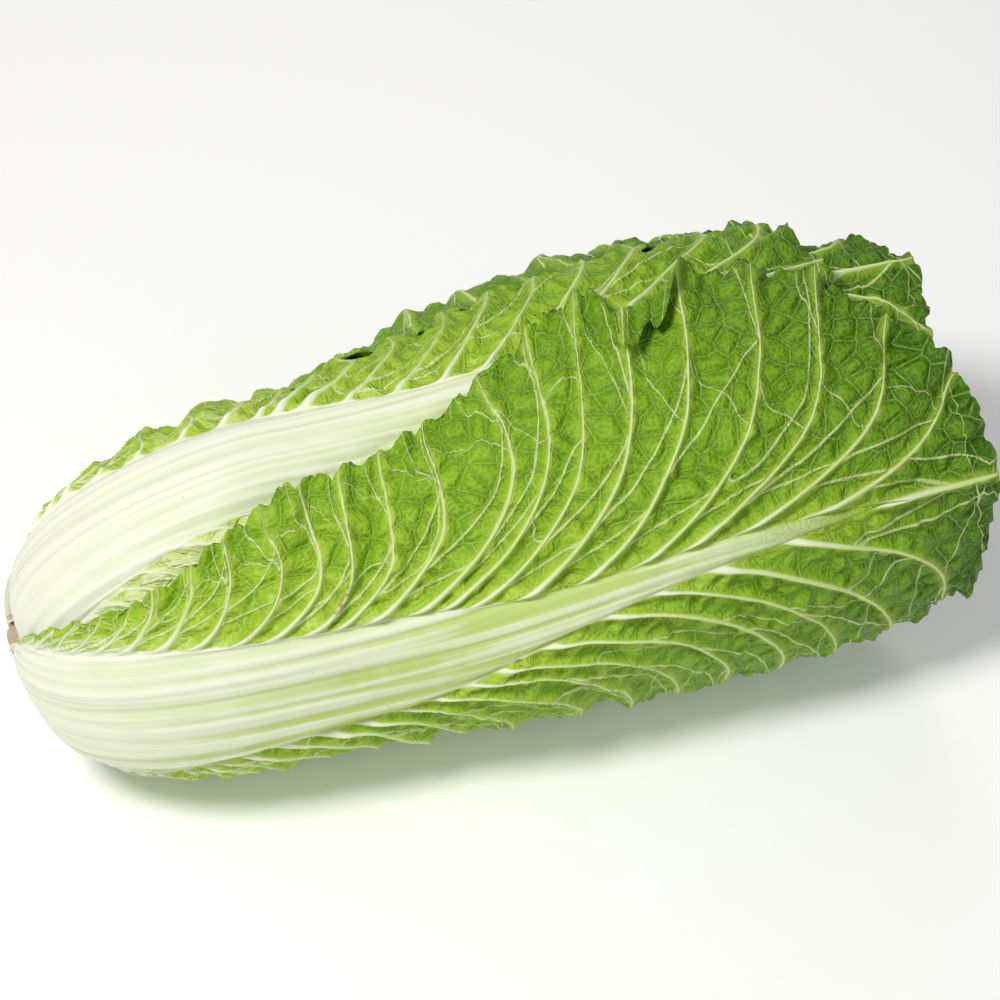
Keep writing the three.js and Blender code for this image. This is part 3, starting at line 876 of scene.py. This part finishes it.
def leaf_material(title, colours, shape, tint):
    """Leaf tissue: white midrib, pale veins, green blade. tint moves the greens towards yellow."""
    n = Nodes(title)
    chart = n.new("ShaderNodeUVMap", uv_map="chart").outputs["UV"]
    coarse = n.noise(chart, 9.0, 4.0).outputs["Fac"]
    grain_node = n.noise(chart, 75.0, 4.0)
    grain = grain_node.outputs["Fac"]
    veins, main_widths, halo = vein_lines(n, n.field("blade"))

    # Fine net and leathery grain between the veins
    cell = shape.net_cell / MM
    net_vector, net_distance = net_texture(n.tree, cell)
    n.join(chart, net_vector)
    net_mm = n.sum("MULTIPLY", net_distance, cell)
    net = n.between(net_mm, 0.5, 0.1)
    # raised climbs from the fine net to the middle of its cells: it lifts the relief and carries the
    # painted shade of the pillows.
    raised = n.between(net_mm, 0.0, 2.6)
    warp = n.new("ShaderNodeVectorMath", operation="MULTIPLY_ADD")
    n.join(grain_node.outputs["Color"], warp.inputs[0])
    warp.inputs[1].default_value = (0.008, 0.008, 0.0)
    n.join(chart, warp.inputs[2])
    tiny_vector, tiny_distance = net_texture(n.tree, FINE_CELL)
    n.join(warp.outputs[0], tiny_vector)
    tiny = n.between(tiny_distance, 0.16, 0.02)
    pillow = n.between(tiny_distance, 0.0, 0.4)

    # Green of the blade, then its veins from the finest to the widest
    tone = n.sum("MULTIPLY_ADD", n.sum("SUBTRACT", coarse, 0.5), 0.42, n.field("tone"))
    tone = n.sum("MULTIPLY_ADD", n.sum("SUBTRACT", grain, 0.5), 0.2, tone)
    tone = n.sum("MULTIPLY_ADD", n.sum("SUBTRACT", pillow, 0.5), 0.08, tone)
    # Painted shade and light: the blade is darker in the creases along the fine net and lighter on the
    # pillows between them.
    tone = n.sum("MULTIPLY_ADD", n.sum("SUBTRACT", 0.6, raised), 0.16, tone)
    tone = n.sum("ADD", tone, 0.0, clamp=True)
    blade = n.blend(n.sum("MULTIPLY", halo, 0.5), blade_ramp(n, tone, colours), colours.vein_halo)
    blade = n.blend(n.sum("MULTIPLY", tiny, 0.05), blade, colours.vein_halo)
    blade = n.blend(n.sum("MULTIPLY", net, 0.33), blade, colours.net_vein)
    near_rib = n.between(n.field("from_rib"), 20.0, 0.0, 0.0, 0.75)
    blade = n.blend(veins, blade, n.blend(near_rib, colours.side_vein, colours.rib_white))

    # Midrib, browned root and scar
    rib, ridge = midrib_colour(n, chart, coarse, colours)
    rib_mask = n.between(n.field("rib"), 0.2, 0.8)
    colour = n.blend(rib_mask, blade, rib)
    browned = n.sum("MULTIPLY", n.field("root"), n.between(grain, 0.42, 0.62, 0.05, 0.7))
    colour = n.blend(browned, colour, colours.scar)
    scarred = n.sum("MULTIPLY", n.field("scar"), n.between(grain, 0.35, 0.6, 0.1, 0.85))
    colour = n.blend(scarred, colour, colours.scar)
    if tint > 0:
        colour = n.blend(tint, colour, colours.heart_yellow, "MULTIPLY")

    shader = n.surface(colour, n.sum("MULTIPLY_ADD", grain, 0.2, 0.32), {
        "IOR": 1.42,
        "Specular IOR Level": 0.3,
        "Subsurface Weight": 0.08,
        "Subsurface Radius": (0.6, 1.0, 0.3),
        "Subsurface Scale": 0.0015,
    })
    height = n.sum("MULTIPLY_ADD", net, 0.25, n.sum("MULTIPLY", raised, 0.3))
    height = n.sum("MULTIPLY_ADD", pillow, 0.2, height)
    height = n.sum("MULTIPLY_ADD", grain, 0.3, height)
    height = n.sum("MULTIPLY", height, n.between(main_widths, 0.4, 1.4))
    rounded = n.between(main_widths, 1.3, 0.0)
    raised_veins = n.sum("MAXIMUM", rounded, n.sum("MULTIPLY", veins, 0.5))
    height = n.sum("MULTIPLY_ADD", raised_veins, 0.6, height)
    height = n.sum("MULTIPLY", height, n.sum("SUBTRACT", 1.0, rib_mask))
    height = n.sum("MULTIPLY_ADD", n.sum("MULTIPLY", ridge, rib_mask), 0.6, height)
    n.bump(shader, height, 1.0, 0.0014)
    return n.material


def stem_material(title, colours):
    """The cut stem: cream pith, a ring of vessels, a browned rim and fibres along its side."""
    n = Nodes(title)
    place = n.new("ShaderNodeTexCoord").outputs["Object"]
    grain = n.noise(place, 420.0, 5.0).outputs["Fac"]
    blotch = n.noise(place, 120.0, 4.0).outputs["Fac"]
    wander = n.sum("MULTIPLY_ADD", n.sum("SUBTRACT", blotch, 0.5), 0.3, n.field("ring"))
    vessels = n.sum("MULTIPLY", n.between(wander, 0.6, 0.7), n.between(wander, 0.76, 0.86, 1.0, 0.0))
    pith = n.blend(n.between(blotch, 0.35, 0.7), colours.stem_cream, colours.stem_shade)
    cut = n.blend(n.sum("MULTIPLY", vessels, 0.6), pith, colours.rib_green)
    rim = n.sum("MULTIPLY", n.between(wander, 0.84, 0.95), n.between(wander, 1.12, 1.0))
    cut = n.blend(n.sum("MULTIPLY", rim, 0.55), cut, colours.scar)
    cut = n.blend(n.sum("MULTIPLY", n.between(grain, 0.62, 0.72), 0.6), cut, colours.scar)
    shader = n.surface(cut, n.between(grain, 0.3, 0.7, 0.5, 0.8), {
        "Subsurface Weight": 0.1,
        "Subsurface Radius": (1.0, 0.8, 0.4),
        "Subsurface Scale": 0.002,
    })
    n.bump(shader, grain, 0.6, 0.0006)
    return n.material


def floor_material(title, colour):
    """A plain matt floor, lit a little from within so that it stays pale."""
    n = Nodes(title)
    n.surface(colour, 0.6, {
        "Specular IOR Level": 0.2,
        "Emission Color": (1.0, 1.0, 1.0, 1),
        "Emission Strength": 0.12,
    })
    return n.material


def ring_shell(rings, sides, relief, field):
    """A closed skin of rings round the head's axis. relief and field are read at (x, turn)."""
    turn = np.linspace(0, 2 * math.pi, sides, endpoint=False)[None, :]
    x = np.array([r[0] for r in rings], float)[:, None]
    radius = np.array([r[1] for r in rings], float)[:, None] + relief(x, turn)
    height = radius * np.sin(turn)
    points = np.stack([x - lean_at(x, height), -radius * np.cos(turn), axis_height(x) + height], -1)
    count = len(rings)
    ends = []
    for index in (0, -1):
        ends.append(np.array([x[index, 0], 0, axis_height(x[index, 0])]))
    vertices = np.concatenate([points.reshape(-1, 3), ends])
    k = np.arange(sides)
    after = (k + 1) % sides
    triangles = []
    for j in range(count - 1):
        a, b = j * sides + k, j * sides + after
        triangles.append(np.stack([a, a + sides, b + sides], -1))
        triangles.append(np.stack([a, b + sides, b], -1))
    start = np.full(sides, count * sides)
    top = (count - 1) * sides
    triangles.append(np.stack([start, k, after], -1))
    triangles.append(np.stack([start + 1, top + after, top + k], -1))
    values = {}
    for name, (skin, at_start, at_end) in field(x, turn, radius).items():
        values[name] = np.concatenate([np.broadcast_to(skin, radius.shape).ravel(), [at_start, at_end]])
    skin_chart = np.stack(np.broadcast_arrays(x, turn * 20), -1).reshape(-1, 2)
    chart = np.concatenate([skin_chart, np.zeros((2, 2))]) / CHART_UNIT
    return vertices, np.concatenate(triangles), values, chart


def heart_core_shell():
    """The closed middle of the heart, with the folds of its wrapped leaves."""
    rings = []
    for along in np.linspace(1, CORE_LENGTH, CORE_RINGS):
        x, radius = layer_outline(along, CORE_DEPTH)
        closing = CORE_CLOSED_IN * ease((along - CORE_LENGTH + CORE_CLOSING) / CORE_CLOSING)
        rings.append((float(x), float(radius - 3 - closing)))

    def relief(x, turn):
        fold = 0.6 * np.sin(5 * turn + 0.03 * x) + 0.35 * np.sin(11 * turn - 0.05 * x)
        return fold * ease(x / 60) * ease((CORE_LENGTH - x) / 60)

    def field(x, turn, radius):
        one = np.ones_like(radius)
        steady = {
            "strength": 1.0, "scar": 0.0, "rib": 0.0, "blade": 0.5, "from_rib": 30.0, "tone": 0.04,
            "rib_tone": 0.0, "ridge_a": 0.0, "ridge_b": 0.0, "root": 0.0,
        }
        found = {name: (value * one, value, value) for name, value in steady.items()}
        shifts = {"main": 0.0, "fork_ahead": 0.3, "fork_behind": 0.4, "bridge": 0.2, "middle": 0.5}
        for name, shift in shifts.items():
            phase = 4 * turn + 0.06 * x + shift
            found[name] = (phase * one, 0.4, 0.4)
            found[name + "_span"] = (12.0 * one, 12.0, 12.0)
        return found

    return ring_shell(rings, RING_SIDES, relief, field)


def stem_shell():
    """The cut stem: a slightly hollow cut face, a ragged rim and the sides that the leaves grow from."""
    face_radii = np.linspace(0.6, CUT_RADIUS - 0.5, 12)
    rings = [(0.5 + CUT_HOLLOW * (1 - (r / CUT_RADIUS) ** 2), r) for r in face_radii]
    rings += [(0.35, CUT_RADIUS + 0.2), (0.9, CUT_RADIUS + 0.9), (1.6, STEM_RADIUS - 0.15)]
    rings += [(x, STEM_RADIUS - 0.1) for x in np.linspace(3, STEM_TOP_X - 2, 10)]
    rings += [(STEM_TOP_X, STEM_RADIUS - 2)]

    def relief(x, turn):
        rough = 0.25 * np.sin(9 * turn + 1.3) + 0.2 * np.sin(17 * turn + 0.4 * x)
        rough = rough + 0.12 * np.sin(31 * turn)
        return -np.abs(rough) * ease(x / 1.2) * 0.8

    def field(x, turn, radius):
        ring = np.where(x < 1.5, radius / 14.2, 1.0)
        return {"ring": (ring, 0.0, 0.6)}

    return ring_shell(rings, RING_SIDES, relief, field)


def length_setting(name, description, default, low, high):
    """A length in metres that a user can change."""
    return FloatProperty(
        name=name, description=description, default=default, min=low, max=high,
        unit="LENGTH", precision=4,
    )


def colour_setting(name, description, default):
    """A colour that a user can change."""
    return FloatVectorProperty(
        name=name, description=description, default=default, min=0, max=1, size=3, subtype="COLOR",
    )


def angle_setting(name, description, default):
    """An angle that a user can change, with its default in degrees."""
    return FloatProperty(
        name=name, description=description, default=math.radians(default), subtype="ANGLE",
    )


def power_setting(name, description, default):
    """A light's power in watts that a user can change."""
    return FloatProperty(name=name, description=description, default=default, min=0, unit="POWER")


class CabbageLeafShape(PropertyGroup):
    """Sizes of the leaves' fine form"""
    blade_thickness: length_setting(
        "Blade Thickness", "Thickness of a leaf's blade near its midrib", 0.0009, 0.0006, 0.002)
    vein_height: length_setting(
        "Vein Height", "How far the side veins stand out", 0.0015, 0.0, 0.003)
    net_cell: length_setting(
        "Net Cell", "Size of the cells between the fine veins", 0.0082, 0.004, 0.02)
    pucker_depth: length_setting(
        "Pucker Depth", "How far the blade swells between its fine veins", 0.0018, 0.0, 0.003)
    frill_height: length_setting(
        "Frill Height", "How far the leaf margins wave", 0.0023, 0.0, 0.008)
    lobe_depth: length_setting(
        "Lobe Depth", "Depth of the rounded lobes along the margins", 0.0044, 0.0, 0.006)
    rib_ridge_height: length_setting(
        "Rib Ridge Height", "Height of the ridges along a midrib", 0.0006, 0.0, 0.001)
    rib_ridge_width: length_setting(
        "Rib Ridge Width", "Distance between the ridges along a midrib", 0.0034, 0.002, 0.01)


class CabbageColours(PropertyGroup):
    """Colours of the leaves and the stem"""
    blade_pale: colour_setting("Pale Blade", "Blade of the inner leaves", (0.88, 0.92, 0.5))
    blade_light: colour_setting("Light Blade", "Blade near the root", (0.4, 0.6, 0.04))
    blade_green: colour_setting("Green Blade", "Middle of the blade", (0.2, 0.4, 0.012))
    blade_dark: colour_setting("Dark Blade", "Blade towards the tip", (0.05, 0.15, 0.006))
    vein_halo: colour_setting("Vein Halo", "Blade beside a vein", (0.45, 0.64, 0.06))
    net_vein: colour_setting("Fine Vein", "Fine veins between the side veins", (0.5, 0.69, 0.12))
    side_vein: colour_setting("Side Vein", "Side veins", (0.68, 0.8, 0.33))
    rib_white: colour_setting("Rib White", "Ridges of the midrib", (0.9, 0.92, 0.78))
    rib_green: colour_setting("Rib Green", "Grooves of the midrib", (0.55, 0.68, 0.22))
    heart_yellow: colour_setting("Heart Yellow", "Tint of the heart's leaves", (1.0, 0.96, 0.7))
    stem_cream: colour_setting("Stem Cream", "Cut face of the stem", (0.83, 0.78, 0.6))
    stem_shade: colour_setting("Stem Shade", "Darker patches of the cut face", (0.68, 0.6, 0.4))
    scar: colour_setting("Scar Brown", "Scars, specks and the browned cut", (0.3, 0.17, 0.07))


class CabbageStage(PropertyGroup):
    """Camera, lights and floor"""
    camera_azimuth: angle_setting("Camera Azimuth", "Turn of the camera round the head", -18.5)
    camera_elevation: angle_setting("Camera Elevation", "Height of the camera as an angle", 45)
    camera_distance: length_setting(
        "Camera Distance", "From the camera to the middle of the head", 1.1, 0.5, 3.0)
    camera_lens: FloatProperty(
        name="Camera Lens", description="Focal length in millimetres on a 36 mm sensor",
        default=116.9, min=35, max=200)
    floor_colour: colour_setting("Floor Colour", "Plain pale floor", (0.97, 0.97, 0.965))
    key_power: power_setting("Key Light", "Power of the main soft light", 11.9)
    fill_power: power_setting("Fill Light", "Power of the soft fill light", 3.2)


def replace_nodes(piece, slot, *nodes):
    """A piece rides on the part and stands for its nodes."""
    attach(piece, "root")
    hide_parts(*nodes)


def build_leaf(context, name, slot, material):
    """One leaf in place of its node."""
    shell = leaf_shell(LEAVES[name], context.scene.cabbage_shape)
    piece = piece_from(name + "_dressed", [shell], material)
    replace_nodes(piece, slot, name)


class CABBAGE_OT_outer_leaves(Operator):
    """Build the green outer leaves: front, back, top and under"""
    bl_idname = "cabbage.outer_leaves"
    bl_label = "Outer Leaves"

    def execute(self, context):
        scene = context.scene
        material = leaf_material("outer leaf tissue", scene.cabbage_colours, scene.cabbage_shape, 0.0)
        for name in ("front_leaf", "back_leaf", "top_leaf", "under_leaf"):
            build_leaf(context, name, "outer_leaf", material)
        return {"FINISHED"}


class CABBAGE_OT_inner_leaves(Operator):
    """Build the lighter inner leaves and the pale leaves inside them"""
    bl_idname = "cabbage.inner_leaves"
    bl_label = "Inner Leaves"

    def execute(self, context):
        colours = context.scene.cabbage_colours
        shape = context.scene.cabbage_shape
        material = leaf_material("inner leaf tissue", colours, shape, 0.0)
        for name in ("inner_top_leaf", "inner_front_leaf"):
            build_leaf(context, name, "inner_leaf", material)
        material = leaf_material("pale leaf tissue", colours, shape, 0.5)
        for name in ("pale_upper_leaf", "pale_lower_leaf"):
            build_leaf(context, name, "pale_leaf", material)
        return {"FINISHED"}


class CABBAGE_OT_heart(Operator):
    """Build the closed heart with its curled leaves"""
    bl_idname = "cabbage.heart"
    bl_label = "Heart"

    def execute(self, context):
        shape = context.scene.cabbage_shape
        material = leaf_material("heart leaf tissue", context.scene.cabbage_colours, shape, 0.8)
        shells = [heart_core_shell()]
        shells += [leaf_shell(heart_leaf_facts(index), shape) for index in range(HEART_LEAVES)]
        piece = piece_from("heart_dressed", shells, material)
        replace_nodes(piece, "pale_leaf", "heart")
        return {"FINISHED"}


class CABBAGE_OT_stem(Operator):
    """Build the cut stem"""
    bl_idname = "cabbage.stem"
    bl_label = "Cut Stem"

    def execute(self, context):
        material = stem_material("cut stem", context.scene.cabbage_colours)
        piece = piece_from("stem_dressed", [stem_shell()], material)
        replace_nodes(piece, "stem", "stem")
        return {"FINISHED"}


def soft_light(name, place, aim, size, power, colour):
    """A round soft light that faces a point."""
    data = bpy.data.lights.new(name, "AREA")
    data.shape = "DISK"
    data.size = size
    data.energy = power
    data.color = colour
    light = bpy.data.objects.new(name, data)
    light.location = place
    light.rotation_euler = (Vector(aim) - Vector(place)).to_track_quat("-Z", "Y").to_euler()
    bpy.context.scene.collection.objects.link(light)


class CABBAGE_OT_stage(Operator):
    """Build the pale floor, the soft studio lights and the camera"""
    bl_idname = "cabbage.stage"
    bl_label = "Studio and Camera"

    def execute(self, context):
        stage = context.scene.cabbage_stage
        mesh = bpy.data.meshes.new("floor")
        shape = bmesh.new()
        bmesh.ops.create_grid(shape, x_segments=8, y_segments=8, size=4.0)
        shape.to_mesh(mesh)
        shape.free()
        floor = bpy.data.objects.new("floor", mesh)
        context.scene.collection.objects.link(floor)
        mesh.materials.append(floor_material("floor", stage.floor_colour))

        low, high = (Vector(corner) for corner in MODEL_BOX)
        middle = (low + high) / 2
        az, el = stage.camera_azimuth, stage.camera_elevation
        back = Vector((math.sin(az) * math.cos(el), -math.cos(az) * math.cos(el), math.sin(el)))
        right = Vector((math.cos(az), math.sin(az), 0))
        up = back.cross(right)
        aim = middle + right * AIM_RIGHT - up * AIM_DOWN
        data = bpy.data.cameras.new("camera")
        data.lens = stage.camera_lens
        data.sensor_width = 36
        camera = bpy.data.objects.new("camera", data)
        camera.location = aim + back * stage.camera_distance
        camera.rotation_euler = back.to_track_quat("Z", "Y").to_euler()
        context.scene.collection.objects.link(camera)
        context.scene.camera = camera

        soft_light("key", (-0.6, -0.3, 1.15), middle, 0.34, stage.key_power, (1.0, 0.985, 0.96))
        soft_light("fill", (0.8, -1.0, 0.7), middle, 1.1, stage.fill_power, (0.97, 0.985, 1.0))
        soft_light("rim", (0.35, 1.0, 0.8), middle, 0.8, stage.fill_power * 0.8, (1.0, 1.0, 1.0))
        context.scene.view_settings.view_transform = "Standard"
        world = bpy.data.worlds.new("studio")
        context.scene.world = world
        world.use_nodes = True
        background = world.node_tree.nodes["Background"]
        background.inputs["Color"].default_value = (1.0, 1.0, 1.0, 1)
        background.inputs["Strength"].default_value = 0.22
        return {"FINISHED"}


class CABBAGE_PT_panel(Panel):
    """Lists the steps that build the napa cabbage"""
    bl_label = "Napa Cabbage"
    bl_idname = "CABBAGE_PT_panel"
    bl_space_type = "VIEW_3D"
    bl_region_type = "UI"
    bl_category = "Napa Cabbage"

    def draw(self, context):
        for operator in OPERATORS:
            self.layout.operator(operator.bl_idname)
        scene = context.scene
        for group in (scene.cabbage_shape, scene.cabbage_colours, scene.cabbage_stage):
            box = self.layout.box()
            for name in group.__annotations__:
                box.prop(group, name)


OPERATORS = (
    CABBAGE_OT_outer_leaves,
    CABBAGE_OT_inner_leaves,
    CABBAGE_OT_heart,
    CABBAGE_OT_stem,
    CABBAGE_OT_stage,
)
CLASSES = (CabbageLeafShape, CabbageColours, CabbageStage, *OPERATORS, CABBAGE_PT_panel)


def register():
    """Add the classes and their settings."""
    for item in CLASSES:
        bpy.utils.register_class(item)
    bpy.types.Scene.cabbage_shape = PointerProperty(type=CabbageLeafShape)
    bpy.types.Scene.cabbage_colours = PointerProperty(type=CabbageColours)
    bpy.types.Scene.cabbage_stage = PointerProperty(type=CabbageStage)


def unregister():
    """Take the settings and the classes away again."""
    del bpy.types.Scene.cabbage_stage
    del bpy.types.Scene.cabbage_colours
    del bpy.types.Scene.cabbage_shape
    for item in reversed(CLASSES):
        bpy.utils.unregister_class(item)


def write_sizes():
    """Bring the view layer up to date."""
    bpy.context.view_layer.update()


def main():
    """Build everything, the camera first."""
    register()
    bpy.ops.cabbage.stage()
    bpy.ops.cabbage.outer_leaves()
    bpy.ops.cabbage.inner_leaves()
    bpy.ops.cabbage.heart()
    bpy.ops.cabbage.stem()
    write_sizes()


if __name__ == "__main__":
    main()
